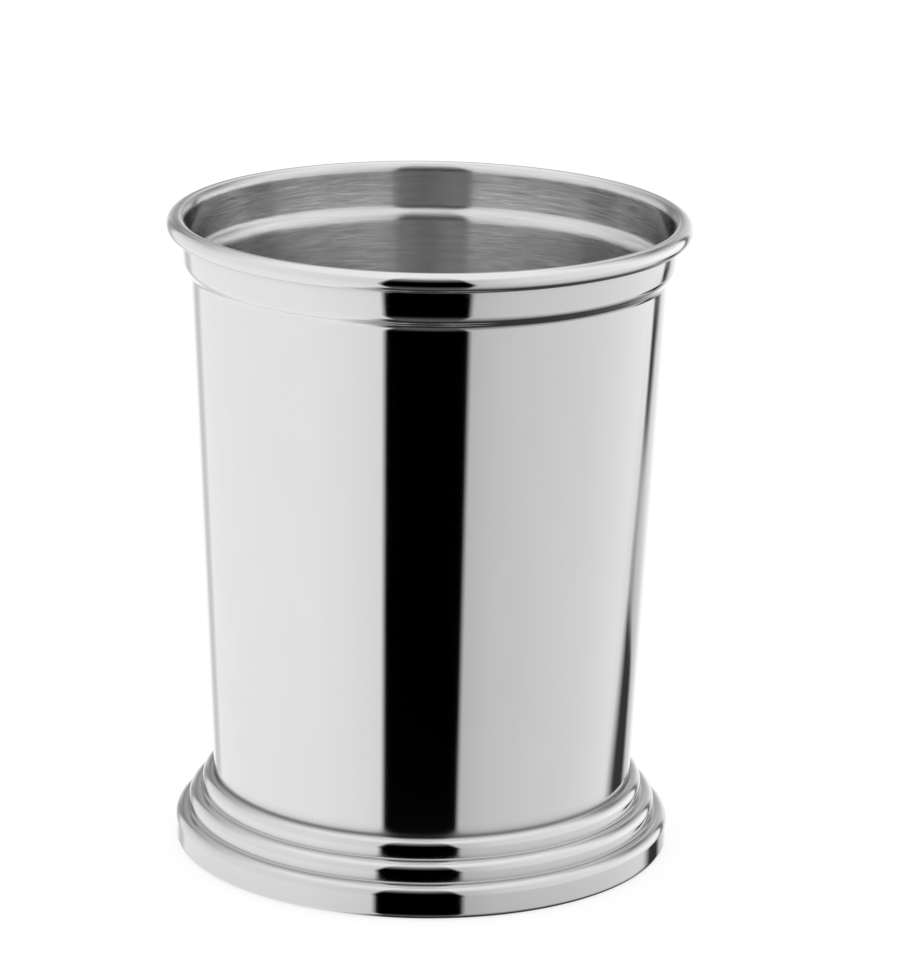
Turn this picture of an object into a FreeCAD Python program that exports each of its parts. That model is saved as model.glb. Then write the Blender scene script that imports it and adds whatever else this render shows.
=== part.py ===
import FreeCAD, Part
import math
import os
import Sketcher

# A steel tumbler of the julep cup kind: a drawn, tapered cup with a curled rim and a swaged neck,
# on a pressed foot ring with three steps. Every piece is turned about the upright Z axis, and the
# foot stands on Z = 0.

# The driving sizes, in millimetres. A diameter is taken over the outside of the metal.
SIZES = {
    "cup_height": 109.4,
    "sheet_gauge": 0.8,
    # the rim: the sheet's edge, curled outward into a hollow bead
    "rim_diameter": 88.0,
    "bead_diameter": 3.3,
    "curl_gap": 0.05,
    # the neck band under the bead: its height with the bead, how far it stands out from the wall,
    # its gentle bow, and the bends of the step that sets it off
    "neck_height": 10.3,
    "neck_set_out": 1.65,
    "neck_bow_radius": 60.0,
    "neck_edge_radius": 2.3,
    "step_root_radius": 2.0,
    # how much the wall's radius shrinks down to the foot's top edge, the bend at the wall's bottom,
    # and the floor, which stands clear of the table
    "wall_taper": 4.1,
    "bottom_bend_radius": 2.8,
    "floor_recess": 3.0,
    # the foot ring: three rounded steps, a flat underside and a lip turned up against the wall
    "foot_gauge": 0.8,
    "foot_height": 12.2,
    "step_width": 2.3,
    "step_rise": 3.3,
    "step_round_share": 0.7,
    "top_step_flat": 0.24,
    "step_crease_radius": 0.3,
    "foot_edge_radius": 1.0,
    "lip_bend_radius": 1.2,
    "lip_overlap": 1.2,
    # the fit of the foot ring on the cup, and the brazing metal that joins them
    "seat_gap": 0.05,
    "upper_braze_depth": 1.4,
    "lower_braze_top_share": 0.65,
    "lower_braze_foot_share": 0.2,
    "braze_hollow_radius": 1.6,
}
FOOT_STEPS = 3

# Formulas that several outlines share.
CURL_X = "(Sizes.rim_diameter - Sizes.bead_diameter) / 2"
CURL_Z = "(Sizes.cup_height - Sizes.bead_diameter / 2)"
CURL_HOLLOW = "(Sizes.bead_diameter / 2 - Sizes.sheet_gauge)"
WALL_TOP_X = "(%s - %s - Sizes.neck_set_out)" % (CURL_X, CURL_HOLLOW)
WALL_TOP_Z = "(Sizes.cup_height - Sizes.neck_height)"
WALL_SLOPE = "(Sizes.wall_taper / (%s - Sizes.foot_height))" % WALL_TOP_Z
BEND_TOP = "(Sizes.floor_recess + Sizes.bottom_bend_radius)"
LIP_TOP = "(%s + Sizes.lip_overlap)" % BEND_TOP
STEP_ROUND = "(Sizes.step_width * Sizes.step_round_share)"


def wall_radius(height):
    """The formula for the outside radius of the tapered wall at a height."""
    return "(%s - (%s - %s) * %s)" % (WALL_TOP_X, WALL_TOP_Z, height, WALL_SLOPE)


# The foot is fitted round the wall: its top edge first, then each step wider than the one above.
SEAT_RADIUS = "(%s + Sizes.seat_gap)" % wall_radius("Sizes.foot_height")
TOP_FACE_RADIUS = "(%s + Sizes.top_step_flat + %s)" % (SEAT_RADIUS, STEP_ROUND)


def face_radius(step):
    """The formula for the radius of a step's upright face. Step 1 is the lowest."""
    return "(%s + %d * Sizes.step_width)" % (TOP_FACE_RADIUS, FOOT_STEPS - step)


def top_height(step):
    """The formula for the height of a step's top."""
    return "(Sizes.foot_height - %d * Sizes.step_rise)" % (FOOT_STEPS - step)


LIP_RADIUS = "(%s + Sizes.seat_gap)" % wall_radius(LIP_TOP)


doc = FreeCAD.newDocument("SteelTumbler")
sheet = doc.addObject("Spreadsheet::Sheet", "Sizes")
for row, (alias, size) in enumerate(SIZES.items(), start=1):
    sheet.set("A%d" % row, alias)
    sheet.set("B%d" % row, str(size))
    sheet.setAlias("B%d" % row, alias)
doc.recompute()


def value(formula):
    """What a formula comes to, so that an outline is drawn close to where its sizes put it."""
    return float(sheet.evalExpression(formula))


# What a sketch's rules call the points of a stretch, its two axes and its origin.
START, FINISH, CENTRE = range(1, 4)
LEVEL_AXIS, Z_AXIS = range(-1, -3, -1)
ORIGIN = (LEVEL_AXIS, START)


class Outline:
    """A sketch in the upright plane, drawn in one stroke and then bound to the sheet."""

    def __init__(self, label, body=None):
        make = body.newObject if body else doc.addObject
        self.sketch = make("Sketcher::SketchObject", label)
        if body:
            planes = {plane.Role: plane for plane in body.Origin.OriginFeatures}
            self.sketch.AttachmentSupport = [(planes["XZ_Plane"], "")]
            self.sketch.MapMode = "FlatFace"
        else:
            upright = FreeCAD.Rotation(FreeCAD.Vector(1, 0, 0), 90)
            self.sketch.Placement = FreeCAD.Placement(FreeCAD.Vector(), upright)
        self.first = self.last = None

    def rule(self, *terms):
        return self.sketch.addConstraint(Sketcher.Constraint(*terms))

    def follow(self, geometry, start, finish, smooth):
        """Joins a new stretch to the last one, tangent to it unless the corner is a sharp one."""
        if self.last:
            self.rule("Tangent" if smooth else "Coincident", *self.last, geometry, start)
        else:
            self.first = (geometry, start)
        self.last = (geometry, finish)
        return geometry

    def line(self, start, finish, smooth=True):
        ends = [FreeCAD.Vector(x, z, 0) for x, z in (start, finish)]
        geometry = self.sketch.addGeometry(Part.LineSegment(*ends))
        return self.follow(geometry, START, FINISH, smooth)

    def arc(self, centre, radius, start, finish, smooth=True):
        """An arc from one angle to another, in degrees, clockwise where the second is smaller."""
        circle = Part.Circle(FreeCAD.Vector(*centre, 0), FreeCAD.Vector(0, 0, 1), radius)
        low, high = sorted(math.radians(angle) for angle in (start, finish))
        geometry = self.sketch.addGeometry(Part.ArcOfCircle(circle, low, high))
        near, far = (START, FINISH) if start < finish else (FINISH, START)
        return self.follow(geometry, near, far, smooth)

    def close(self):
        self.rule("Coincident", *self.last, *self.first)

    def bind(self, name, formula, *terms):
        """Gives a rule a name and the formula that its size follows."""
        index = self.rule(*terms, value(formula))
        self.sketch.renameConstraint(index, name)
        self.sketch.setExpression("Constraints." + name, formula)

    def reach(self, name, geometry, point, formula):
        """How far out from the Z axis a point lies."""
        self.bind(name, formula, "DistanceX", *ORIGIN, geometry, point)

    def height(self, name, geometry, point, formula):
        """How high above the table a point lies."""
        self.bind(name, formula, "DistanceY", *ORIGIN, geometry, point)

    def radius(self, name, arc, formula):
        self.bind(name, formula, "Radius", arc)

    def measured_reach(self, name, geometry, point, estimate):
        """A reach that this sketch works out and another one reads."""
        index = self.rule("DistanceX", *ORIGIN, geometry, point, estimate)
        self.sketch.setDriving(index, False)
        self.sketch.renameConstraint(index, name)


def turned(section, label):
    """A piece made by turning a section round the Z axis."""
    piece = doc.addObject("Part::Revolution", label)
    piece.Label = label
    piece.Source = section
    piece.Axis = FreeCAD.Vector(0, 0, 1)
    piece.Angle = 360
    piece.Solid = True
    return piece


def turned_sheet(outline, gauge, label):
    """Sheet metal: its gauge lies on the left of the line that was drawn for its outer face."""
    section = doc.addObject("Part::Offset2D", label + "_section")
    section.Source = outline.sketch
    section.Mode = "Skin"
    section.Join = "Arc"
    section.Fill = True
    section.setExpression("Value", gauge)
    return turned(section, label)


def turned_body(body, outline):
    """A ring of solid metal."""
    ring = body.newObject("PartDesign::Revolution", body.Label + "_turned")
    ring.Profile = outline.sketch
    ring.ReferenceAxis = (outline.sketch, ["V_Axis"])
    ring.Angle = 360
    return body


def cup_shell():
    """The cup, drawn from one sheet: floor, bottom bend, wall, step, neck band and curled rim."""
    floor_z, bend = value("Sizes.floor_recess"), value("Sizes.bottom_bend_radius")
    wall_x, wall_z = value(WALL_TOP_X), value(WALL_TOP_Z)
    foot_x = value(wall_radius(BEND_TOP))
    root, edge = value("Sizes.step_root_radius"), value("Sizes.neck_edge_radius")
    curl_x, curl_z, hollow = value(CURL_X), value(CURL_Z), value(CURL_HOLLOW)
    neck_x, bow = curl_x - hollow, value("Sizes.neck_bow_radius")
    step_turn = math.degrees(math.acos(1 - (neck_x - wall_x) / (root + edge)))
    step_rise = (root + edge) * math.sin(math.radians(step_turn))
    neck_turn = math.degrees(math.asin((curl_z - wall_z - step_rise) / bow))

    outline = Outline("cup_shell_outline")
    floor = outline.line((0, floor_z), (foot_x - bend, floor_z))
    bottom_bend = outline.arc((foot_x - bend, floor_z + bend), bend, -90, 0)
    wall = outline.line((foot_x, floor_z + bend), (wall_x, wall_z))
    step_root = outline.arc((wall_x + root, wall_z), root, 180, 180 - step_turn)
    neck_edge = outline.arc((neck_x - edge, wall_z + step_rise), edge, -step_turn, 0)
    neck = outline.arc((neck_x - bow, curl_z), bow, -neck_turn, 0)
    curl = outline.arc((curl_x, curl_z), hollow, 180, -115)

    outline.rule("PointOnObject", floor, START, Z_AXIS)
    outline.rule("Horizontal", floor)
    outline.height("floor_z", floor, START, "Sizes.floor_recess")
    outline.radius("bend_radius", bottom_bend, "Sizes.bottom_bend_radius")
    mark = Part.Point(FreeCAD.Vector(foot_x, floor_z + bend, 0))
    wall_foot = outline.sketch.addGeometry(mark, True)
    outline.rule("PointOnObject", wall_foot, START, wall)
    outline.reach("wall_foot_x", wall_foot, START, wall_radius("Sizes.foot_height"))
    outline.height("wall_foot_z", wall_foot, START, "Sizes.foot_height")
    outline.reach("wall_top_x", wall, FINISH, WALL_TOP_X)
    outline.height("wall_top_z", wall, FINISH, WALL_TOP_Z)
    outline.radius("root_radius", step_root, "Sizes.step_root_radius")
    outline.radius("edge_radius", neck_edge, "Sizes.neck_edge_radius")
    outline.radius("bow_radius", neck, "Sizes.neck_bow_radius")
    outline.height("bow_z", neck, CENTRE, CURL_Z)
    outline.reach("curl_x", curl, CENTRE, CURL_X)
    outline.height("curl_z", curl, CENTRE, CURL_Z)
    outline.radius("curl_radius", curl, CURL_HOLLOW)
    # The curl stops where its raw edge comes within the gap of the neck.
    curl_end_x = "%s - %s * (%s - Sizes.curl_gap) / (Sizes.bead_diameter / 2)" % (
        CURL_X, CURL_HOLLOW, CURL_HOLLOW)
    outline.reach("curl_end_x", curl, START, curl_end_x)
    outline.measured_reach("bend_centre_x", bottom_bend, CENTRE, foot_x - bend)
    return turned_sheet(outline, "Sizes.sheet_gauge", "cup_shell")


def foot_ring():
    """The foot, pressed from one sheet: lip, flat underside, three rounded steps and top edge."""
    lip_x, lip_z, lip_bend = value(LIP_RADIUS), value(LIP_TOP), value("Sizes.lip_bend_radius")
    edge, crease = value("Sizes.foot_edge_radius"), value("Sizes.step_crease_radius")
    rounding = value(STEP_ROUND)

    outline = Outline("foot_ring_outline")
    lip = outline.line((lip_x, lip_z), (lip_x, lip_bend))
    outline.rule("Vertical", lip)
    outline.reach("lip_x", lip, START, LIP_RADIUS)
    outline.height("lip_z", lip, START, LIP_TOP)
    lip_turn = outline.arc((lip_x + lip_bend, lip_bend), lip_bend, 180, 270)
    outline.radius("lip_bend_radius", lip_turn, "Sizes.lip_bend_radius")
    face_x = value(face_radius(1))
    underside = outline.line((lip_x + lip_bend, 0), (face_x - edge, 0))
    outline.rule("Horizontal", underside)
    outline.rule("PointOnObject", underside, START, LEVEL_AXIS)
    foot_edge = outline.arc((face_x - edge, edge), edge, -90, 0)
    outline.radius("foot_edge_radius", foot_edge, "Sizes.foot_edge_radius")
    face_foot = edge
    for step in range(1, FOOT_STEPS + 1):
        face_x, top_z = value(face_radius(step)), value(top_height(step))
        face = outline.line((face_x, face_foot), (face_x, top_z - rounding))
        outline.rule("Vertical", face)
        outline.reach("face_x_%d" % step, face, START, face_radius(step))
        shoulder = outline.arc((face_x - rounding, top_z - rounding), rounding, 0, 90)
        outline.radius("round_%d" % step, shoulder, STEP_ROUND)
        topmost = step == FOOT_STEPS
        inner_x = value(SEAT_RADIUS) if topmost else value(face_radius(step + 1)) + crease
        land = outline.line((face_x - rounding, top_z), (inner_x, top_z))
        outline.rule("Horizontal", land)
        outline.height("top_z_%d" % step, land, FINISH, top_height(step))
        if topmost:
            outline.reach("seat_x", land, FINISH, SEAT_RADIUS)
        else:
            valley = outline.arc((inner_x, top_z + crease), crease, 270, 180)
            outline.radius("crease_%d" % step, valley, "Sizes.step_crease_radius")
        face_foot = top_z + crease
    return turned_sheet(outline, "Sizes.foot_gauge", "foot_ring")


def upper_braze_ring():
    """Brazing metal drawn into the channel between the wall and the inside of the top step."""
    top = "(Sizes.foot_height - Sizes.foot_gauge - Sizes.seat_gap)"
    bottom = "(%s - Sizes.upper_braze_depth)" % top
    outer = "(%s - Sizes.foot_gauge - Sizes.seat_gap)" % face_radius(FOOT_STEPS)
    inner_top = "(%s + Sizes.seat_gap)" % wall_radius(top)
    inner_bottom = "(%s + Sizes.seat_gap)" % wall_radius(bottom)
    rounding = "(%s - Sizes.foot_gauge - Sizes.seat_gap)" % STEP_ROUND
    top_z, bottom_z, outer_x = value(top), value(bottom), value(outer)
    radius, hollow = value(rounding), value("Sizes.braze_hollow_radius")
    inner_x = value(inner_bottom)
    half_span = (outer_x - inner_x) / 2
    dip = math.degrees(math.asin(half_span / hollow))
    hollow_centre = (inner_x + half_span, bottom_z - hollow * math.cos(math.radians(dip)))

    body = doc.addObject("PartDesign::Body", "upper_braze_ring")
    outline = Outline("upper_braze_outline", body)
    wall_side = outline.line((inner_x, bottom_z), (value(inner_top), top_z))
    roof = outline.line((value(inner_top), top_z), (outer_x - radius, top_z), smooth=False)
    corner = outline.arc((outer_x - radius, top_z - radius), radius, 90, 0)
    face_side = outline.line((outer_x, top_z - radius), (outer_x, bottom_z))
    surface = outline.arc(hollow_centre, hollow, 90 - dip, 90 + dip, smooth=False)
    outline.close()

    outline.rule("Horizontal", roof)
    outline.rule("Vertical", face_side)
    outline.reach("inner_bottom_x", wall_side, START, inner_bottom)
    outline.height("inner_bottom_z", wall_side, START, bottom)
    outline.reach("inner_top_x", wall_side, FINISH, inner_top)
    outline.height("inner_top_z", wall_side, FINISH, top)
    outline.radius("corner_radius", corner, rounding)
    outline.reach("outer_x", face_side, FINISH, outer)
    outline.height("outer_bottom_z", face_side, FINISH, bottom)
    outline.radius("hollow_radius", surface, "Sizes.braze_hollow_radius")
    return turned_body(body, outline)


def lower_braze_ring():
    """Brazing metal in the groove between the cup's bottom bend and the foot ring's lip."""
    centre_x, centre_z = "cup_shell_outline.Constraints.bend_centre_x", BEND_TOP
    bend = "(Sizes.bottom_bend_radius + Sizes.seat_gap)"
    top = "(Sizes.floor_recess + Sizes.bottom_bend_radius * Sizes.lower_braze_top_share)"
    bottom = "(Sizes.floor_recess + Sizes.bottom_bend_radius * Sizes.lower_braze_foot_share)"
    lip_side = "(%s - Sizes.seat_gap)" % LIP_RADIUS
    centre, radius = (value(centre_x), value(centre_z)), value(bend)
    top_z, bottom_z, lip_x = value(top), value(bottom), value(lip_side)
    top_turn = math.degrees(math.asin((top_z - centre[1]) / radius))
    bottom_turn = math.degrees(math.asin((bottom_z - centre[1]) / radius))
    top_x = centre[0] + radius * math.cos(math.radians(top_turn))
    bottom_x = centre[0] + radius * math.cos(math.radians(bottom_turn))
    hollow = value("Sizes.braze_hollow_radius")
    half_span = (lip_x - bottom_x) / 2
    dip = math.degrees(math.asin(half_span / hollow))
    hollow_centre = (bottom_x + half_span, bottom_z - hollow * math.cos(math.radians(dip)))

    body = doc.addObject("PartDesign::Body", "lower_braze_ring")
    outline = Outline("lower_braze_outline", body)
    lip = outline.line((lip_x, bottom_z), (lip_x, top_z))
    roof = outline.line((lip_x, top_z), (top_x, top_z), smooth=False)
    cup_side = outline.arc(centre, radius, top_turn, bottom_turn, smooth=False)
    surface = outline.arc(hollow_centre, hollow, 90 + dip, 90 - dip, smooth=False)
    outline.close()

    outline.rule("Vertical", lip)
    outline.rule("Horizontal", roof)
    outline.reach("lip_x", lip, START, lip_side)
    outline.height("bottom_z", lip, START, bottom)
    outline.height("top_z", lip, FINISH, top)
    outline.reach("bend_x", cup_side, CENTRE, centre_x)
    outline.height("bend_z", cup_side, CENTRE, centre_z)
    outline.radius("bend_radius", cup_side, bend)
    outline.height("cup_side_z", cup_side, START, bottom)
    outline.radius("hollow_radius", surface, "Sizes.braze_hollow_radius")
    return turned_body(body, outline)


pieces = []
for make_piece in (cup_shell, foot_ring, upper_braze_ring, lower_braze_ring):
    pieces.append(make_piece())
    doc.recompute()

for item in doc.Objects:
    if "Invalid" in item.State or "Error" in item.State:
        raise RuntimeError("%s did not build: %s" % (item.Label, item.State))
    if item.isDerivedFrom("Sketcher::SketchObject") and item.solve() != 0:
        raise RuntimeError("the sketch %s has no solution" % item.Label)
for piece in pieces:
    if piece.Shape.isNull() or not piece.Shape.isValid() or len(piece.Shape.Solids) != 1:
        raise RuntimeError("%s is not one sound solid" % piece.Label)

os.makedirs("parts", exist_ok=True)
for piece in pieces:
    piece.Shape.exportStep("parts/%s.step" % piece.Label)
    box = piece.Shape.optimalBoundingBox()
    print("%-17s %7.2f mm across, Z %6.2f to %6.2f, %8.0f cubic mm" % (
        piece.Label, box.XLength, box.ZMin, box.ZMax, piece.Shape.Volume))
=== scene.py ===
import math

import bpy
from mathutils import Matrix, Vector


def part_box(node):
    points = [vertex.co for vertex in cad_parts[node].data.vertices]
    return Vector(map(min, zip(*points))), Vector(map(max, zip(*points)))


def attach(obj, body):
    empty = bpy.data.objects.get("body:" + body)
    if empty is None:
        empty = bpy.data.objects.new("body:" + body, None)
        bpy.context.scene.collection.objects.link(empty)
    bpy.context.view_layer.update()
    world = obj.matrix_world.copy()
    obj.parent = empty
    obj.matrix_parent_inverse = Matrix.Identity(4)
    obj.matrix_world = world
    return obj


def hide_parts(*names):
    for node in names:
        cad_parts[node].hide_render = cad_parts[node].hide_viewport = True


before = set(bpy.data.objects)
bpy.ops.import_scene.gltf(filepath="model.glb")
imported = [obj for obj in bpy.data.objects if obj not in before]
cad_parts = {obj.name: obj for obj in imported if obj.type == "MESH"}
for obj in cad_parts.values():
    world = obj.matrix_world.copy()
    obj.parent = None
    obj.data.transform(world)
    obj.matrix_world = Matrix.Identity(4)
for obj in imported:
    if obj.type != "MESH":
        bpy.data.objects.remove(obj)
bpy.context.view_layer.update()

# The tumbler is seen from a little above the rim and from well back, through a long lens, so that
# its wall runs nearly straight down the picture. The picture leans a touch to the right.
MM = 0.001
QUARTER = math.pi / 2
CAMERA_SIDEWAYS = 4.04 * MM
CAMERA_DISTANCE = 785 * MM
CAMERA_HEIGHT = 286.5 * MM
CAMERA_PITCH = math.radians(15.86)
CAMERA_LEAN = math.radians(0.945)
CAMERA_LENS = 180.88
CAMERA_SENSOR = 36.0
camera_data = bpy.data.cameras.new("viewpoint")
camera_data.lens = CAMERA_LENS
camera_data.sensor_width = CAMERA_SENSOR
camera = bpy.data.objects.new("viewpoint", camera_data)
bpy.context.scene.collection.objects.link(camera)
camera.matrix_world = (
    Matrix.Translation((CAMERA_SIDEWAYS, -CAMERA_DISTANCE, CAMERA_HEIGHT))
    @ Matrix.Rotation(QUARTER - CAMERA_PITCH, 4, "X")
    @ Matrix.Rotation(CAMERA_LEAN, 4, "Z")
)
bpy.context.scene.camera = camera
bpy.context.scene.view_settings.view_transform = "Standard"

# The cup is one sheet of stainless steel, drawn to a tapered wall, swaged out to a neck band and
# rolled over at the rim into a hollow bead. It is mirror polished outside and turned with a fine
# abrasive inside, which leaves level lines round it.
CUP_GAUGE = 0.8 * MM
BEAD_RADIUS = 1.65 * MM
CURL_GAP = 0.05 * MM
NECK_HEIGHT = 10.3 * MM
NECK_SET_OUT = 1.65 * MM
NECK_BOW_RADIUS = 60.0 * MM
NECK_EDGE_RADIUS = 2.3 * MM
STEP_ROOT_RADIUS = 2.0 * MM
WALL_TAPER = 4.1 * MM
BOTTOM_BEND_RADIUS = 2.8 * MM


def meeting_point(centre_a, radius_a, centre_b, radius_b):
    """Where two circles cross, on the left of the way from the first centre to the second."""
    between = centre_b - centre_a
    gap = between.length
    along = (radius_a ** 2 - radius_b ** 2 + gap ** 2) / (2 * gap)
    across = math.sqrt(radius_a ** 2 - along ** 2)
    return centre_a + (along * between + across * Vector((-between.y, between.x))) / gap


# Points of the section are (distance from the axis, height).
cup_low, cup_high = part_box("cup_shell")
foot_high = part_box("foot_ring")[1]
floor_z = cup_low.z
foot_top = foot_high.z
curl_centre = Vector((cup_high.x - BEAD_RADIUS, cup_high.z - BEAD_RADIUS))
curl_hollow = BEAD_RADIUS - CUP_GAUGE
curl_end = -math.acos((CURL_GAP - curl_hollow) / BEAD_RADIUS)
wall_top = Vector((curl_centre.x - curl_hollow - NECK_SET_OUT, cup_high.z - NECK_HEIGHT))
wall_foot = Vector((wall_top.x - WALL_TAPER, foot_top))
wall_lean = math.atan2(WALL_TAPER, wall_top.y - wall_foot.y)
wall_out = Vector((math.cos(wall_lean), -math.sin(wall_lean)))
bend_z = floor_z + BOTTOM_BEND_RADIUS
bend_centre = Vector((
    wall_foot.x - (wall_foot.y - bend_z) * math.tan(wall_lean)
    - BOTTOM_BEND_RADIUS / math.cos(wall_lean), bend_z))
root_centre = wall_top + STEP_ROOT_RADIUS * wall_out
bow_centre = Vector((curl_centre.x - curl_hollow - NECK_BOW_RADIUS, curl_centre.y))
edge_centre = meeting_point(
    bow_centre, NECK_BOW_RADIUS - NECK_EDGE_RADIUS,
    root_centre, STEP_ROOT_RADIUS + NECK_EDGE_RADIUS)
step_way = root_centre - edge_centre
step_angle = math.atan2(step_way.y, step_way.x)
bow_way = edge_centre - bow_centre
bow_angle = math.atan2(bow_way.y, bow_way.x)

SAME_POINT = 0.0005 * MM


class SheetOutline:
    """The face of a sheet, drawn in one stroke of points out from the axis and up, with the way
    to the sheet's other face, which lies on the left of the stroke."""

    def __init__(self):
        self.points = []
        self.ways = []

    def add(self, point, way):
        """One more point, unless it falls on the last one."""
        if not self.points or (point - self.points[-1]).length > SAME_POINT:
            self.points.append(point)
            self.ways.append(way)

    def line(self, start, finish, shares=(0, 1)):
        """Straight, with a point at each share of the way."""
        along = (finish - start).normalized()
        for share in shares:
            self.add(start.lerp(finish, share), Vector((-along.y, along.x)))

    def arc(self, centre, radius, start, finish, rows):
        """From one angle to another, in radians, clockwise where the second is smaller."""
        for row in range(rows + 1):
            angle = start + (finish - start) * row / rows
            out = Vector((math.cos(angle), math.sin(angle)))
            self.add(centre + radius * out, out if finish < start else -out)

    def other_face(self, gauge):
        """The same stroke along the sheet's other face."""
        return [point + gauge * way for point, way in zip(self.points, self.ways)]


# Each straight stretch has a point close to its ends, so that the smooth shading of an arc stops
# there. The wall has more beside the foot's top edge, where its polish changes within a millimetre.
BEND_ROWS = 16
ROOT_ROWS = 16
EDGE_ROWS = 18
BOW_ROWS = 28
CURL_ROWS = 48
CUP_FLOOR_SHARES = (0, 0.03, 0.5, 0.99, 1)
WALL_LOW_SHARES = (0, 0.003)
WALL_HIGH_SHARES = (0.5, 0.9, 0.997, 1)
OVER_FOOT_TOP = [rise * MM for rise in (-0.8, -0.2, 0, 0.15, 0.3, 0.5, 0.8, 1.3, 2.2)]
beside_foot_shares = [
    (foot_top - bend_z + rise) / (wall_top.y - bend_z) for rise in OVER_FOOT_TOP]
cup_line = SheetOutline()
cup_line.line(Vector((0, floor_z)), Vector((bend_centre.x, floor_z)), CUP_FLOOR_SHARES)
cup_line.arc(bend_centre, BOTTOM_BEND_RADIUS, -QUARTER, -wall_lean, BEND_ROWS)
cup_line.line(
    cup_line.points[-1], wall_top, (*WALL_LOW_SHARES, *beside_foot_shares, *WALL_HIGH_SHARES))
cup_line.arc(root_centre, STEP_ROOT_RADIUS, math.pi - wall_lean, math.pi + step_angle, ROOT_ROWS)
cup_line.arc(edge_centre, NECK_EDGE_RADIUS, step_angle, bow_angle, EDGE_ROWS)
cup_line.arc(bow_centre, NECK_BOW_RADIUS, bow_angle, 0, BOW_ROWS)
rows_below_curl = len(cup_line.points)
cup_line.arc(curl_centre, curl_hollow, math.pi, curl_end, CURL_ROWS)
cup_section = cup_line.points + cup_line.other_face(CUP_GAUGE)[::-1]

# The other face is the inside of the cup and then the outside of the bead. The abrasive reaches
# the inside and the bead's first rows.
SATIN_ROWS_OVER_BEAD = 10
satin_rows = rows_below_curl + SATIN_ROWS_OVER_BEAD
cup_satin = [0.0] * (len(cup_section) - satin_rows) + [1.0] * satin_rows

# Painted shade in the creases: the colour is darkened, and the roughness raised, where the curl
# comes back to the neck, and just over the foot.
BEAD_CREASE_PAINTED_SHADE = 0.45
BEAD_CREASE_REACH = 0.35 * MM
FOOT_TOP_CREASE_PAINTED_SHADE = 0.5
FOOT_TOP_CREASE_REACH = 0.5 * MM
FOOT_TOP_CREASE_RISE = 0.25 * MM
bead_crease = Vector((
    bow_centre.x + NECK_BOW_RADIUS + CURL_GAP,
    curl_centre.y - math.sqrt(BEAD_RADIUS ** 2 - curl_hollow ** 2)))
foot_top_crease = Vector((wall_foot.x, foot_top + FOOT_TOP_CREASE_RISE))


def painted_crease_shade_and_roughness(section, creases):
    """How much painted shade, with added roughness, each point of a section takes from the creases,
    each a place, the share of light painted away there and the distance that it reaches."""
    return [max(loss * math.exp(-(point - place).length / reach)
                for place, loss, reach in creases) for point in section]


# Painted shade, with added roughness, in the cup's creases.
cup_crease_shade_and_roughness = painted_crease_shade_and_roughness(cup_section, [
    (bead_crease, BEAD_CREASE_PAINTED_SHADE, BEAD_CREASE_REACH),
    (foot_top_crease, FOOT_TOP_CREASE_PAINTED_SHADE, FOOT_TOP_CREASE_REACH)])


def node(tree, kind, inputs=None, **settings):
    """A node with its settings and its inputs, each a value or the output that feeds it."""
    made = tree.nodes.new(kind)
    for name, value in settings.items():
        setattr(made, name, value)
    for name, value in (inputs or {}).items():
        if isinstance(value, bpy.types.NodeSocket):
            tree.links.new(value, made.inputs[name])
        else:
            made.inputs[name].default_value = value
    return made


def maths(tree, operation, *values):
    """One step of arithmetic between outputs and numbers."""
    return node(tree, "ShaderNodeMath", dict(enumerate(values)), operation=operation).outputs[0]


# The lathe: a grid with a row for each point of the section and a column for each step round the
# axis, whose vertices are then moved to their places. It keeps the section's two marks.
turning = bpy.data.node_groups.new("turned_round_the_axis", "GeometryNodeTree")
for socket_name, socket_type in (
    ("Section", "NodeSocketGeometry"), ("Columns", "NodeSocketInt"),
    ("Outer Finish", "NodeSocketMaterial"), ("Inner Finish", "NodeSocketMaterial"),
):
    turning.interface.new_socket(socket_name, in_out="INPUT", socket_type=socket_type)
turning.interface.new_socket("Piece", in_out="OUTPUT", socket_type="NodeSocketGeometry")
given = turning.nodes.new("NodeGroupInput").outputs
section_points = node(
    turning, "GeometryNodeAttributeDomainSize", {"Geometry": given["Section"]}
).outputs["Point Count"]
grid = node(turning, "GeometryNodeMeshGrid", {
    "Vertices X": maths(turning, "ADD", given["Columns"], 1), "Vertices Y": section_points})
index = turning.nodes.new("GeometryNodeInputIndex").outputs[0]
row = maths(turning, "MODULO", index, section_points)
column = maths(turning, "FLOOR", maths(turning, "DIVIDE", index, section_points))
angle = maths(turning, "MULTIPLY", maths(turning, "DIVIDE", column, given["Columns"]), math.tau)


def of_the_row(value, kind):
    """What a value is at the section's point that a vertex comes from."""
    return node(turning, "GeometryNodeSampleIndex", {
        "Geometry": given["Section"], "Value": value, "Index": row}, data_type=kind).outputs["Value"]


section_place = node(turning, "ShaderNodeSeparateXYZ", {0: of_the_row(
    turning.nodes.new("GeometryNodeInputPosition").outputs[0], "FLOAT_VECTOR")}).outputs
turned_place = node(turning, "ShaderNodeCombineXYZ", {
    "X": maths(turning, "MULTIPLY", section_place["X"], maths(turning, "COSINE", angle)),
    "Y": maths(turning, "MULTIPLY", section_place["X"], maths(turning, "SINE", angle)),
    "Z": section_place["Z"]}).outputs[0]
turned = node(turning, "GeometryNodeSetPosition", {
    "Geometry": grid.outputs["Mesh"], "Position": turned_place})


def mark_named(name):
    """A mark that is stored on the section or the mesh."""
    return node(turning, "GeometryNodeInputNamedAttribute", {"Name": name}).outputs["Attribute"]


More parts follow.
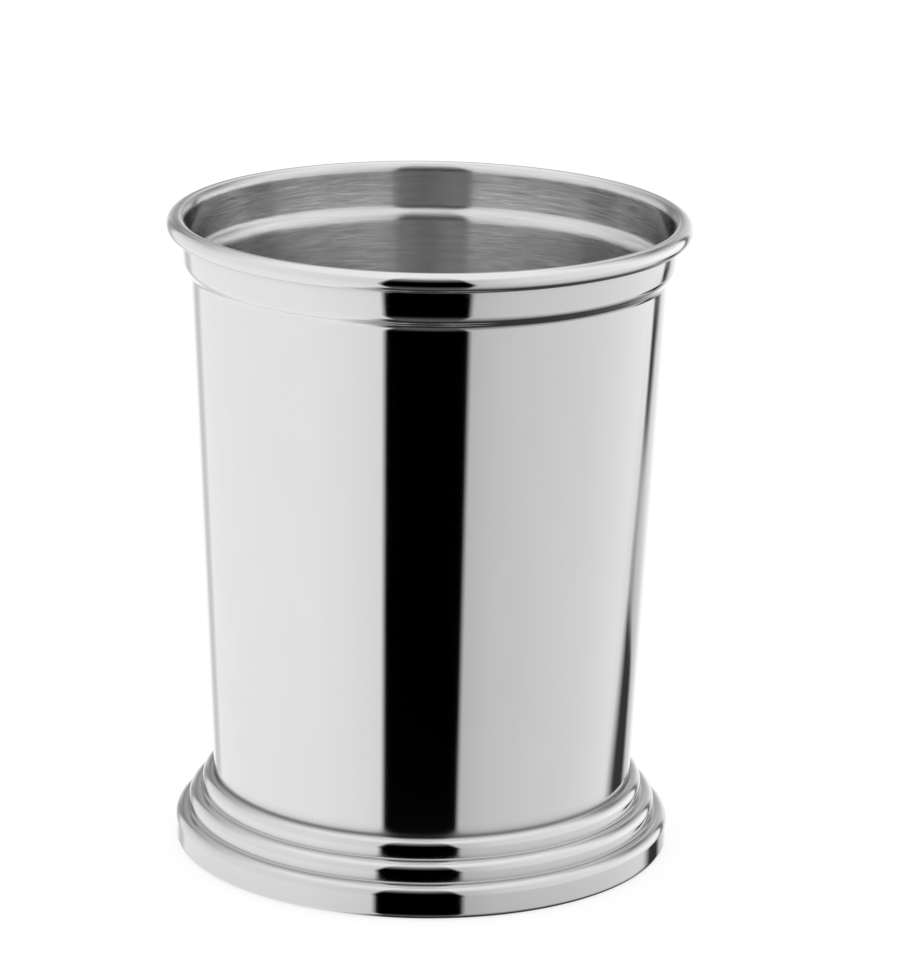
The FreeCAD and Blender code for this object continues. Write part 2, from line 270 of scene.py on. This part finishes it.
for mark in ("satin", "crease_shade_and_roughness"):
    turned = node(turning, "GeometryNodeStoreNamedAttribute", {
        "Geometry": turned.outputs[0], "Name": mark,
        "Value": of_the_row(mark_named(mark), "FLOAT")}, data_type="FLOAT")
SEAM_REACH = 0.0002 * MM
closed = node(turning, "GeometryNodeMergeByDistance", {
    "Geometry": turned.outputs[0], "Distance": SEAM_REACH})
smooth = node(turning, "GeometryNodeSetShadeSmooth", {"Geometry": closed.outputs[0]})
real = node(turning, "GeometryNodeRealizeInstances", {"Geometry": smooth.outputs[0]})
outer = node(turning, "GeometryNodeSetMaterial", {
    "Geometry": real.outputs[0], "Material": given["Outer Finish"]})
inner = node(turning, "GeometryNodeSetMaterial", {
    "Geometry": outer.outputs[0], "Material": given["Inner Finish"],
    "Selection": maths(turning, "GREATER_THAN", mark_named("satin"), 0.5)})
node(turning, "NodeGroupOutput", {"Piece": inner.outputs[0]})

COLUMNS = 320
SHARP_EDGE = math.radians(40)


def turn_piece(name, section, satin, crease_shade_and_roughness, outer_finish, inner_finish):
    """Turns a section round the upright axis into a plain mesh."""
    mesh = bpy.data.meshes.new(name)
    mesh.from_pydata([(point.x, 0, point.y) for point in section], [], [])
    mesh.attributes.new("satin", "FLOAT", "POINT").data.foreach_set("value", satin)
    mesh.attributes.new("crease_shade_and_roughness", "FLOAT", "POINT").data.foreach_set("value", crease_shade_and_roughness)
    piece = bpy.data.objects.new(name, mesh)
    bpy.context.scene.collection.objects.link(piece)
    lathe = piece.modifiers.new("lathe", "NODES")
    lathe.node_group = turning
    chosen = {"Columns": COLUMNS, "Outer Finish": outer_finish, "Inner Finish": inner_finish}
    for item in turning.interface.items_tree:
        if item.in_out == "INPUT" and item.name in chosen:
            lathe[item.identifier] = chosen[item.name]
    piece.update_tag()
    graph = bpy.context.evaluated_depsgraph_get()
    piece.data = bpy.data.meshes.new_from_object(piece.evaluated_get(graph))
    piece.data.name = name
    piece.modifiers.remove(lathe)
    piece.data.set_sharp_from_angle(angle=SHARP_EDGE)
    bpy.data.meshes.remove(mesh)
    return piece


def vectors(tree, operation, first, second=None):
    """One step of arithmetic between vectors, or between a vector and the number that scales it."""
    inputs = {0: first}
    if second is not None:
        inputs["Scale" if operation == "SCALE" else 1] = second
    made = node(tree, "ShaderNodeVectorMath", inputs, operation=operation)
    return made.outputs["Value" if operation == "LENGTH" else "Vector"]


# The lines that turning leaves: a noise that is stretched round the axis and changes quickly up the
# wall and out along the floor.
GRAIN_DETAIL = 4.0
GRAIN_ROUGHNESS = 0.65
grain = bpy.data.node_groups.new("turned_grain", "ShaderNodeTree")
grain.interface.new_socket("Lines", in_out="INPUT", socket_type="NodeSocketFloat")
grain.interface.new_socket("Breaks", in_out="INPUT", socket_type="NodeSocketFloat")
grain.interface.new_socket("Grain", in_out="OUTPUT", socket_type="NodeSocketFloat")
grain_given = grain.nodes.new("NodeGroupInput").outputs
spot = grain.nodes.new("ShaderNodeTexCoord").outputs["Object"]
level_spot = vectors(grain, "MULTIPLY", spot, (1, 1, 0))
line_place = maths(
    grain, "ADD", node(grain, "ShaderNodeSeparateXYZ", {0: spot}).outputs["Z"],
    vectors(grain, "LENGTH", level_spot))
across_lines = node(grain, "ShaderNodeCombineXYZ", {
    "Z": maths(grain, "MULTIPLY", line_place, grain_given["Lines"])}).outputs[0]
along_lines = vectors(
    grain, "SCALE", vectors(grain, "NORMALIZE", level_spot), grain_given["Breaks"])
grain_noise = node(grain, "ShaderNodeTexNoise", {
    "Vector": vectors(grain, "ADD", along_lines, across_lines), "Scale": 1.0,
    "Detail": GRAIN_DETAIL, "Roughness": GRAIN_ROUGHNESS})
node(grain, "NodeGroupOutput", {"Grain": grain_noise.outputs["Fac"]})

# Most of the noise lies between these two values.
GRAIN_LOW = 0.3
GRAIN_HIGH = 0.7


def grain_in(tree, lines, breaks):
    """Turned grain with this many lines to the metre and breaks to the radian."""
    made = tree.nodes.new("ShaderNodeGroup")
    made.node_tree = grain
    made.inputs["Lines"].default_value = lines
    made.inputs["Breaks"].default_value = breaks
    return made.outputs["Grain"]


def spread(tree, value, low, high):
    """The grain, spread over the values from low to high."""
    return node(tree, "ShaderNodeMapRange", {
        "Value": value, "From Min": GRAIN_LOW, "From Max": GRAIN_HIGH,
        "To Min": low, "To Max": high}).outputs[0]


def new_finish(name):
    """An empty material and its shader."""
    material = bpy.data.materials.new(name)
    material.use_nodes = True
    return material, material.node_tree, material.node_tree.nodes["Principled BSDF"]


def grey(tree, shade):
    """A neutral colour as light as a value."""
    return node(tree, "ShaderNodeCombineColor", {
        "Red": shade, "Green": shade, "Blue": shade}).outputs[0]


POLISH_LINES = 60.0
POLISH_BREAKS = 6.0
POLISH_UNEVENNESS = 0.01
POLISH_ROUGHNESS = (0.045, 0.06)
CREASE_ROUGHNESS = 0.35


def polished_steel(name, low_level, high_level, high_z):
    """Mirror polish whose level rises from the table to a height, a painted shade low down, with
    creases painted darker and made rougher.
    """
    finish, tree, shader = new_finish(name)
    lines = grain_in(tree, POLISH_LINES, POLISH_BREAKS)
    height = node(tree, "ShaderNodeSeparateXYZ", {
        0: tree.nodes.new("ShaderNodeTexCoord").outputs["Object"]}).outputs["Z"]
    level = node(tree, "ShaderNodeMapRange", {
        "Value": height, "From Min": 0.0, "From Max": high_z,
        "To Min": low_level, "To Max": high_level}).outputs[0]
    crease_shade_and_roughness = node(tree, "ShaderNodeAttribute", attribute_name="crease_shade_and_roughness").outputs["Fac"]
    uneven = spread(tree, lines, 1 - POLISH_UNEVENNESS, 1 + POLISH_UNEVENNESS)
    # Painted shade: the colour is darker in the creases and, through the level, low on the foot.
    shade = maths(tree, "MULTIPLY", maths(tree, "MULTIPLY", level, uneven),
                  maths(tree, "SUBTRACT", 1.0, crease_shade_and_roughness))
    tree.links.new(grey(tree, shade), shader.inputs["Base Color"])
    tree.links.new(
        maths(tree, "MULTIPLY_ADD", crease_shade_and_roughness, CREASE_ROUGHNESS,
              spread(tree, lines, *POLISH_ROUGHNESS)),
        shader.inputs["Roughness"])
    shader.inputs["Metallic"].default_value = 1.0
    return finish


CUP_POLISH = 0.77
polish = polished_steel("polished_steel", CUP_POLISH, CUP_POLISH, cup_high.z)

# Inside, the abrasive leaves level streaks that the eye can follow, and between them scratches too
# fine to see. Their sides tilt the surface up and down, across the grain, and spread the light that
# way. They also shade one another, so less of the light that only glances off comes back.
STREAK_LINES = 1500.0
STREAK_BREAKS = 4.0
STREAK_LEVELS = (0.68, 0.77)
STREAK_ROUGHNESS = (0.18, 0.20)
SCRATCH_LINES = 40000.0
SCRATCH_BREAKS = 9.0
SCRATCH_SLOPE = 1.0
SCRATCH_GLANCE = (0.7, 0.7, 0.7, 1)
ACROSS_THE_GRAIN = 0.25
satin_steel, satin_tree, satin_shader = new_finish("turned_satin_steel")
satin_streaks = grain_in(satin_tree, STREAK_LINES, STREAK_BREAKS)
satin_tree.links.new(
    grey(satin_tree, spread(satin_tree, satin_streaks, *STREAK_LEVELS)),
    satin_shader.inputs["Base Color"])
satin_tree.links.new(
    spread(satin_tree, satin_streaks, *STREAK_ROUGHNESS), satin_shader.inputs["Roughness"])
satin_face = satin_tree.nodes.new("ShaderNodeNewGeometry").outputs["Normal"]
satin_spot = satin_tree.nodes.new("ShaderNodeTexCoord").outputs["Object"]
round_the_axis = vectors(satin_tree, "CROSS_PRODUCT", (0, 0, 1), satin_spot)
across_grain = vectors(
    satin_tree, "NORMALIZE", vectors(satin_tree, "CROSS_PRODUCT", satin_face, round_the_axis))
slope = maths(satin_tree, "MULTIPLY", maths(
    satin_tree, "SUBTRACT", grain_in(satin_tree, SCRATCH_LINES, SCRATCH_BREAKS), 0.5), SCRATCH_SLOPE)
tilt = vectors(satin_tree, "SCALE", across_grain, slope)
scratched = vectors(satin_tree, "NORMALIZE", vectors(satin_tree, "ADD", satin_face, tilt))
satin_tree.links.new(scratched, satin_shader.inputs["Normal"])
satin_shader.inputs["Metallic"].default_value = 1.0
satin_shader.inputs["Specular Tint"].default_value = SCRATCH_GLANCE
satin_shader.inputs["Anisotropic"].default_value = 1.0
satin_shader.inputs["Anisotropic Rotation"].default_value = ACROSS_THE_GRAIN

cup = turn_piece("cup", cup_section, cup_satin, cup_crease_shade_and_roughness, polish, satin_steel)
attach(cup, "root")
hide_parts("cup_shell")

# The foot is a ring pressed from a second sheet of the same steel: a lip turned up against the
# cup, a flat underside to stand on, and three rounded steps that close in on the wall. It is
# brazed on and polished with the cup. Its colour is darker towards the table, a painted shade.
FOOT_GAUGE = 0.8 * MM
FOOT_STEPS = 3
STEP_WIDTH = 2.3 * MM
STEP_RISE = 3.3 * MM
STEP_ROUNDING = 1.61 * MM
STEP_CREASE_RADIUS = 0.3 * MM
FOOT_EDGE_RADIUS = 1.0 * MM
LIP_BEND_RADIUS = 1.2 * MM
LIP_OVER_BEND = 1.2 * MM
SEAT_GAP = 0.05 * MM
LIP_BEND_ROWS = 10
FOOT_EDGE_ROWS = 12
STEP_ROWS = 18
STEP_CREASE_ROWS = 10
LIP_SHARES = (0, 0.05, 0.95, 1)
UNDERSIDE_SHARES = (0, 0.03, 0.97, 1)
RISER_SHARES = (0, 0.05, 0.15, 0.3, 0.5, 0.75, 0.95, 1)
TREAD_SHARES = (0, 0.2, 0.8, 1)
TOP_SHARES = (0, 0.5, 1)
# Painted shade, with raised roughness, is strongest in each hollow, at the fourth point from its
# end, and where the foot meets the wall.
STEP_CREASE_POINT = -4
STEP_CREASE_PAINTED_SHADE = 0.36
STEP_CREASE_REACH = 0.4 * MM
SEAT_CREASE_PAINTED_SHADE = 0.4
SEAT_CREASE_REACH = 0.8 * MM

lip_z = bend_z + LIP_OVER_BEND
lip_x = wall_foot.x - (wall_foot.y - lip_z) * math.tan(wall_lean) + SEAT_GAP
seat_x = wall_foot.x + SEAT_GAP
face_x = foot_high.x
face_z = FOOT_EDGE_RADIUS
foot_line = SheetOutline()
foot_creases = []
foot_line.line(Vector((lip_x, lip_z)), Vector((lip_x, LIP_BEND_RADIUS)), LIP_SHARES)
foot_line.arc(Vector((lip_x + LIP_BEND_RADIUS, LIP_BEND_RADIUS)), LIP_BEND_RADIUS,
              2 * QUARTER, 3 * QUARTER, LIP_BEND_ROWS)
foot_line.line(foot_line.points[-1], Vector((face_x - FOOT_EDGE_RADIUS, 0)), UNDERSIDE_SHARES)
foot_line.arc(Vector((face_x - FOOT_EDGE_RADIUS, FOOT_EDGE_RADIUS)), FOOT_EDGE_RADIUS,
              -QUARTER, 0, FOOT_EDGE_ROWS)
for step in range(1, FOOT_STEPS + 1):
    top_z = foot_top - (FOOT_STEPS - step) * STEP_RISE
    shoulder = Vector((face_x - STEP_ROUNDING, top_z - STEP_ROUNDING))
    foot_line.line(Vector((face_x, face_z)), Vector((face_x, shoulder.y)), RISER_SHARES)
    foot_line.arc(shoulder, STEP_ROUNDING, 0, QUARTER, STEP_ROWS)
    if step < FOOT_STEPS:
        hollow = Vector((face_x - STEP_WIDTH + STEP_CREASE_RADIUS, top_z + STEP_CREASE_RADIUS))
        foot_line.line(Vector((shoulder.x, top_z)), Vector((hollow.x, top_z)), TREAD_SHARES)
        foot_line.arc(hollow, STEP_CREASE_RADIUS, 3 * QUARTER, 2 * QUARTER, STEP_CREASE_ROWS)
        foot_creases.append(
            (foot_line.points[STEP_CREASE_POINT], STEP_CREASE_PAINTED_SHADE, STEP_CREASE_REACH))
        face_x -= STEP_WIDTH
        face_z = hollow.y
    else:
        foot_line.line(Vector((shoulder.x, top_z)), Vector((seat_x, top_z)), TOP_SHARES)
        foot_creases.append((foot_line.points[-1], SEAT_CREASE_PAINTED_SHADE, SEAT_CREASE_REACH))
# The section comes back to its first point, because the sheet is closed at the lip's raw edge.
foot_section = foot_line.points + foot_line.other_face(FOOT_GAUGE)[::-1] + foot_line.points[:1]
# Painted shade, with added roughness, in the foot's creases.
foot_crease_shade_and_roughness = painted_crease_shade_and_roughness(foot_section, foot_creases)
no_satin = [0.0] * len(foot_section)

# Painted shade: the foot's colour is darker towards the table, rising from the low level to the high
# one at this height.
FOOT_PAINTED_SHADE_LEVEL = 0.66
FOOT_POLISH_HIGH = 0.765
FOOT_PAINTED_SHADE_HEIGHT = 11 * MM
foot_polish = polished_steel(
    "polished_foot", FOOT_PAINTED_SHADE_LEVEL, FOOT_POLISH_HIGH, FOOT_PAINTED_SHADE_HEIGHT)
foot = turn_piece("foot", foot_section, no_satin, foot_crease_shade_and_roughness, foot_polish, foot_polish)
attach(foot, "root")
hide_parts("foot_ring")

# Two rings of nickel brazing metal hold the foot on: one drawn up under the foot's top edge, and
# one in the groove between the cup's bottom bend and the foot's lip, which shows from below. The
# metal has set rippled and a touch yellow.
BRAZE_LINES = 300.0
BRAZE_BREAKS = 20.0
BRAZE_LEVELS = (0.55, 0.7)
BRAZE_BLUE_SHARE = 0.94
BRAZE_ROUGHNESS = (0.3, 0.5)
BRAZE_RIPPLE = 0.05 * MM
braze, braze_tree, braze_shader = new_finish("brazing_metal")
braze_lines = grain_in(braze_tree, BRAZE_LINES, BRAZE_BREAKS)
braze_shade = spread(braze_tree, braze_lines, *BRAZE_LEVELS)
braze_colour = node(braze_tree, "ShaderNodeCombineColor", {
    "Red": braze_shade, "Green": braze_shade,
    "Blue": maths(braze_tree, "MULTIPLY", braze_shade, BRAZE_BLUE_SHARE)})
braze_ripples = node(braze_tree, "ShaderNodeBump", {
    "Height": braze_lines, "Strength": 1.0, "Distance": BRAZE_RIPPLE})
braze_tree.links.new(braze_colour.outputs[0], braze_shader.inputs["Base Color"])
braze_tree.links.new(
    spread(braze_tree, braze_lines, *BRAZE_ROUGHNESS), braze_shader.inputs["Roughness"])
braze_tree.links.new(braze_ripples.outputs[0], braze_shader.inputs["Normal"])
braze_shader.inputs["Metallic"].default_value = 1.0
for ring in ("upper_braze_ring", "lower_braze_ring"):
    ring_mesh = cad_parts[ring].data
    ring_mesh.materials.clear()
    ring_mesh.materials.append(braze)

# A plain pale floor that the tumbler stands on. It keeps a soft shadow round the foot, and the
# polished steel mirrors the white studio, not the floor.
FLOOR_HALF = 4.0
FLOOR_COLOUR = (0.4, 0.4, 0.4, 1)
FLOOR_GLOW = 0.72
floor_mesh = bpy.data.meshes.new("floor")
floor_mesh.from_pydata(
    [(-FLOOR_HALF, -FLOOR_HALF, 0), (FLOOR_HALF, -FLOOR_HALF, 0),
     (FLOOR_HALF, FLOOR_HALF, 0), (-FLOOR_HALF, FLOOR_HALF, 0)], [], [(0, 1, 2, 3)])
floor = bpy.data.objects.new("floor", floor_mesh)
bpy.context.scene.collection.objects.link(floor)
floor_finish, floor_tree, floor_shader = new_finish("pale_floor")
floor_tree.nodes.remove(floor_shader)
floor_ray = floor_tree.nodes.new("ShaderNodeLightPath").outputs
matt = node(floor_tree, "ShaderNodeBsdfDiffuse", {"Color": FLOOR_COLOUR})
glow = node(floor_tree, "ShaderNodeEmission", {"Color": (1, 1, 1, 1), "Strength": FLOOR_GLOW})
lit = node(floor_tree, "ShaderNodeAddShader", {0: matt.outputs[0], 1: glow.outputs[0]})
clear = floor_tree.nodes.new("ShaderNodeBsdfTransparent")
seen = node(floor_tree, "ShaderNodeMixShader", {
    0: floor_ray["Is Camera Ray"], 1: matt.outputs[0], 2: lit.outputs[0]})
mirrored = maths(
    floor_tree, "MAXIMUM", floor_ray["Is Glossy Ray"], floor_ray["Is Transmission Ray"])
shown = node(floor_tree, "ShaderNodeMixShader", {
    0: mirrored, 1: seen.outputs[0], 2: clear.outputs[0]})
floor_tree.links.new(shown.outputs[0], floor_tree.nodes["Material Output"].inputs["Surface"])
floor_mesh.materials.append(floor_finish)

# A white studio. What the polished steel shows is its surroundings: two white walls with a black
# gap between them towards the viewer, a dark upright edge behind on the right, a dim band high
# behind, and a dark floor. Bearings are in degrees from the viewer, positive to the right, and
# elevations in degrees from level.
world = bpy.data.worlds.new("studio")
world.use_nodes = True
studio = world.node_tree
studio.nodes.clear()
facing = node(studio, "ShaderNodeSeparateXYZ", {
    0: studio.nodes.new("ShaderNodeTexCoord").outputs["Generated"]}).outputs
bearing = maths(studio, "DEGREES", maths(
    studio, "ARCTAN2", facing["X"], maths(studio, "MULTIPLY", facing["Y"], -1.0)))
elevation = maths(studio, "DEGREES", maths(studio, "ARCSINE", facing["Z"]))


def rises(value, start, finish):
    """A soft edge: 0 below the first value, 1 above the second."""
    return node(studio, "ShaderNodeMapRange", {
        "Value": value, "From Min": start, "From Max": finish, "To Min": 0.0, "To Max": 1.0},
        interpolation_type="SMOOTHSTEP").outputs[0]


def outside(mask):
    """1 where a mask is 0."""
    return maths(studio, "SUBTRACT", 1.0, mask)


def both(mask_a, mask_b):
    """1 where two masks are 1."""
    return maths(studio, "MULTIPLY", mask_a, mask_b)


def kept_in_range(value):
    """The value, no less than 0 and no more than 1."""
    return node(studio, "ShaderNodeClamp", {0: value}).outputs[0]


def strip(value, middle, half, soft):
    """1 inside a strip, 0 outside it. The middle and the half width may be outputs."""
    off = maths(studio, "ABSOLUTE", maths(studio, "SUBTRACT", value, middle))
    inside = maths(studio, "SUBTRACT", maths(studio, "ADD", half, soft), off)
    return kept_in_range(maths(studio, "DIVIDE", inside, 2 * soft))


def climbs(value, middle, soft):
    """0 well below the middle and 1 well above it, a straight rise over twice the softness."""
    off = maths(studio, "DIVIDE", maths(studio, "SUBTRACT", value, middle),
                maths(studio, "MULTIPLY", soft, 2.0))
    return kept_in_range(maths(studio, "ADD", off, 0.5))


def toward(light, level, mask):
    """The light, brought to another level where a mask is 1."""
    return maths(studio, "MULTIPLY_ADD", maths(studio, "SUBTRACT", level, light), mask, light)


def profile(value, stops):
    """A broken line through pairs of degrees and of what they stand for."""
    degrees, heights = zip(*stops)
    low = min(heights)
    high = max(heights)
    made = node(studio, "ShaderNodeValToRGB", {0: node(studio, "ShaderNodeMapRange", {
        "Value": value, "From Min": degrees[0], "From Max": degrees[-1]}).outputs[0]})
    ramp = made.color_ramp
    ramp.elements.remove(ramp.elements[1])
    for number, (degree, height) in enumerate(stops):
        position = (degree - degrees[0]) / (degrees[-1] - degrees[0])
        stop = ramp.elements[0] if number == 0 else ramp.elements.new(position)
        stop.position = position
        share = (height - low) / (high - low)
        stop.color = (share, share, share, 1)
    return maths(studio, "MULTIPLY_ADD", made.outputs[0], high - low, low)


# The white walls at table height, by bearing, and how much brighter or less bright they are above.
WALL_LEVELS = (
    (-180, 1.08), (-165, 1.0), (-120, 1.0), (-60, 0.97), (-36, 0.91), (-22, 0.86), (0, 0.72),
    (22, 0.60), (36, 0.68), (60, 0.74), (90, 0.81), (122, 0.93), (140, 1.0), (147, 0.74),
    (156, 0.84), (165, 1.0), (180, 1.08))
HIGHER_GAIN = (
    (-180, 0.05), (-150, -0.06), (-30, -0.06), (0, 0), (25, 0.12), (42, 0.2), (90, 0.21),
    (115, 0.3), (135, 0.22), (150, 0.1), (180, 0.1))
TABLE_HEIGHT = (-19.0, -5.0)
light = profile(bearing, WALL_LEVELS)
higher = maths(studio, "MULTIPLY_ADD", profile(bearing, HIGHER_GAIN),
               rises(elevation, *TABLE_HEIGHT), 1.0)
light = maths(studio, "MULTIPLY", light, higher)

CEILING_LEVEL = 1.03
CEILING_START = (36.0, 62.0)
light = toward(light, CEILING_LEVEL, rises(elevation, *CEILING_START))

# Behind, over the backdrop, shows a band of the dim room, by bearing how dark and how high.
BAND_DEPTH = (
    (-180, 0.75), (-165, 0.8), (-156, 0.54), (-144, 0.42), (-120, 0.2), (-100, 0), (100, 0),
    (120, 0.4), (132, 0.7), (144, 0.85), (156, 0.75), (168, 0.5), (180, 0.75))
BAND_HEIGHT = ((-180, 15), (-160, 18), (-144, 32), (156, 32), (168, 18), (180, 15))
BAND_LEVEL = 0.1
BAND_HALF = 14.0
BAND_SOFT = 14.0
band = strip(elevation, profile(bearing, BAND_HEIGHT), BAND_HALF, BAND_SOFT)
light = toward(light, BAND_LEVEL, both(profile(bearing, BAND_DEPTH), band))

# Low down the walls end at the floor of the room, which is dark: early on the right, late on the
# left. By bearing, the elevation where the dark begins, the degrees that it takes and its level.
FLOOR_START = (
    (-180, -36), (-170, -48), (-160, -58), (-150, -68), (-60, -68), (-45, -61), (-34, -54),
    (-26, -46), (0, -46), (24, -30), (50, -32), (70, -33), (90, -31), (120, -22), (135, -15),
    (150, -15), (165, -20), (180, -36))
FLOOR_FADE = (
    (-180, 16), (-150, 14), (-60, 14), (-36, 14), (-26, 12), (0, 12), (24, 38), (50, 37),
    (70, 32), (90, 27), (120, 26), (135, 24), (150, 22), (165, 14), (180, 16))
FLOOR_LEVELS = (
    (-180, 0.08), (-150, 0.04), (0, 0.03), (90, 0.04), (120, 0.05), (140, 0.09), (150, 0.12),
    (165, 0.15), (180, 0.08))
below_walls = maths(studio, "SUBTRACT", profile(bearing, FLOOR_START), elevation)
low_down = kept_in_range(maths(studio, "DIVIDE", below_walls, profile(bearing, FLOOR_FADE)))
light = toward(light, profile(bearing, FLOOR_LEVELS), low_down)

# The right wall ends at a dark upright edge, sharp on its near side, which leans at table height
# and opens out below it. By elevation, the bearings of its two sides, its level and how soft its
# near side is.
EDGE_NEAR = (
    (-24, 124), (-22, 127), (-21.3, 129.5), (-20.6, 132), (-19.7, 134.5), (-19.2, 135.5),
    (-18.6, 136), (-17.7, 138.5), (-17, 140), (-16.3, 141.3), (-15.5, 142), (-14.6, 143.5),
    (-13, 144.5), (20, 144.5))
EDGE_FAR = (
    (-24, 147), (-21.3, 147.5), (-20.6, 149.3), (-19.4, 149.3), (-19.1, 144), (-18.3, 144),
    (-17, 147), (-16.3, 148.2), (-15.5, 149.5), (-15.2, 151.5), (-14.4, 152), (-13, 150.5),
    (20, 150.5))
EDGE_LEVEL = (
    (-24, 0.04), (-19.4, 0.04), (-19, 0.4), (-18, 0.45), (-17.4, 0.45), (-17, 0.3), (-16.6, 0.12),
    (-16.1, 0.05), (-15.5, 0.05), (-15.1, 0.15), (-14, 0.2), (-8, 0.2), (20, 0.15))
EDGE_NEAR_SOFT = ((-22, 4), (-19.8, 3.5), (-19.2, 1.8), (-14, 1.5))
EDGE_FAR_SOFT = 3.0
EDGE_FOOT = (-28.0, -24.0)
EDGE_TOP = (12.0, 22.0)
past_near = climbs(bearing, profile(elevation, EDGE_NEAR), profile(elevation, EDGE_NEAR_SOFT))
past_far = climbs(bearing, profile(elevation, EDGE_FAR), EDGE_FAR_SOFT)
edge_heights = both(rises(elevation, *EDGE_FOOT), outside(rises(elevation, *EDGE_TOP)))
light = toward(light, profile(elevation, EDGE_LEVEL), both(
    both(past_near, outside(past_far)), edge_heights))

# On the left the same place shows only as a grey strip, by elevation how deep.
LEFT_STRIP_BEARING = -154.0
LEFT_STRIP_HALF = 6.0
LEFT_STRIP_SOFT = 3.0
LEFT_STRIP_DEPTH = ((-30, 0.3), (-16, 0.32), (0, 0.5), (16, 0.5), (40, 0))
left_strip = strip(bearing, LEFT_STRIP_BEARING, LEFT_STRIP_HALF, LEFT_STRIP_SOFT)
light = maths(studio, "MULTIPLY", light, outside(
    both(left_strip, profile(elevation, LEFT_STRIP_DEPTH))))

# The black gap towards the viewer, which pales at the ceiling and near the floor. By elevation, its
# depth, its level and the bearings of its two sides.
GAP_DEPTH = ((20, 1), (30, 0.9), (43, 0.77), (50, 0.57), (58, 0.38), (67, 0.22), (78, 0))
GAP_LEVEL = (
    (-80, 0.01), (-72, 0.03), (-64, 0.08), (-56, 0.12), (-46, 0.1), (-39, 0.05), (-30, 0.02),
    (-25, 0))
GAP_LEFT = ((-12, -20.9), (6, -20.0), (24, -19.0))
GAP_RIGHT = ((-12, 20.3), (6, 18.6), (24, 17.2))
GAP_SOFT = 1.3
gap_left = profile(elevation, GAP_LEFT)
gap_right = profile(elevation, GAP_RIGHT)
gap_middle = maths(studio, "MULTIPLY", maths(studio, "ADD", gap_right, gap_left), 0.5)
gap_half = maths(studio, "MULTIPLY", maths(studio, "SUBTRACT", gap_right, gap_left), 0.5)
gap = both(strip(bearing, gap_middle, gap_half, GAP_SOFT), profile(elevation, GAP_DEPTH))
light = toward(light, profile(elevation, GAP_LEVEL), gap)

# The camera sees plain white behind the tumbler.
studio_ray = studio.nodes.new("ShaderNodeLightPath").outputs
lit_studio = node(studio, "ShaderNodeBackground", {"Color": light, "Strength": 1.0})
plain_white = node(studio, "ShaderNodeBackground", {"Color": (1, 1, 1, 1), "Strength": 1.0})
backdrop = node(studio, "ShaderNodeMixShader", {
    0: studio_ray["Is Camera Ray"], 1: lit_studio.outputs[0], 2: plain_white.outputs[0]})
node(studio, "ShaderNodeOutputWorld", {"Surface": backdrop.outputs[0]})
bpy.context.scene.world = world
